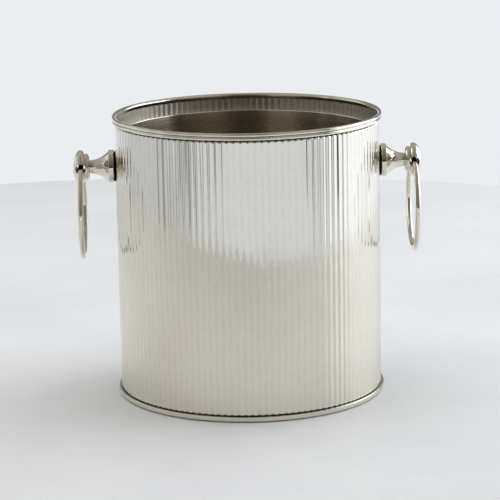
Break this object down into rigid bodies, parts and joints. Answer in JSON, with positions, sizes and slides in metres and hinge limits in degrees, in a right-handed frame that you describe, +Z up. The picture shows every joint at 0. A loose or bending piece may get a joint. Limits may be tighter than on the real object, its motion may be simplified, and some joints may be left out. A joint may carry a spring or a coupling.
{
  "type": "champagne bucket",
  "caption": "Round double-walled champagne bucket, reeded outside and smooth inside, with a beaded rim and foot and a free-hanging ring handle on each side.",
  "frame": {"origin": "centre of the foot ring, on the surface that the bucket stands on", "axes": "+Z up along the bucket's axis; +X through the right handle's post; +Y away from the front"},
  "size_m": [0.2772, 0.2144, 0.224],
  "materials": {
    "reeded_wall": "polished nickel, reeded",
    "polished_trim": "polished nickel",
    "liner_metal": "satin spun",
    "base_metal": "satin spun",
    "black_gasket": "matt",
    "handle_metal": "polished nickel",
    "ring_metal": "polished nickel",
    "hidden_steel": "plain zinc-plated"
  },
  "bodies": {
    "bucket": {"outer_shell": "reeded_wall", "rim_cap": "polished_trim", "rim_band": "polished_trim", "liner": "liner_metal", "base_plate": "base_metal", "foot_ring": "polished_trim", "left_gasket": "black_gasket", "left_post": "handle_metal", "left_knob": "handle_metal", "left_backing_plate": "hidden_steel", "left_lock_washer": "hidden_steel", "left_screw": "hidden_steel", "right_gasket": "black_gasket", "right_post": "handle_metal", "right_knob": "handle_metal", "right_backing_plate": "hidden_steel", "right_lock_washer": "hidden_steel", "right_screw": "hidden_steel"},
    "left_ring": {"left_ring": "ring_metal"},
    "right_ring": {"right_ring": "ring_metal"}
  },
  "joints": [
    {"name": "left_ring_swing", "type": "hinge", "parent": "bucket", "child": "left_ring", "pos_m": [-0.132, 0, 0.183], "axis": [0, 1, 0], "range_deg": [-19.5, 212]},
    {"name": "right_ring_swing", "type": "hinge", "parent": "bucket", "child": "right_ring", "pos_m": [0.132, 0, 0.183], "axis": [0, -1, 0], "range_deg": [-19.5, 212]}
  ]
}
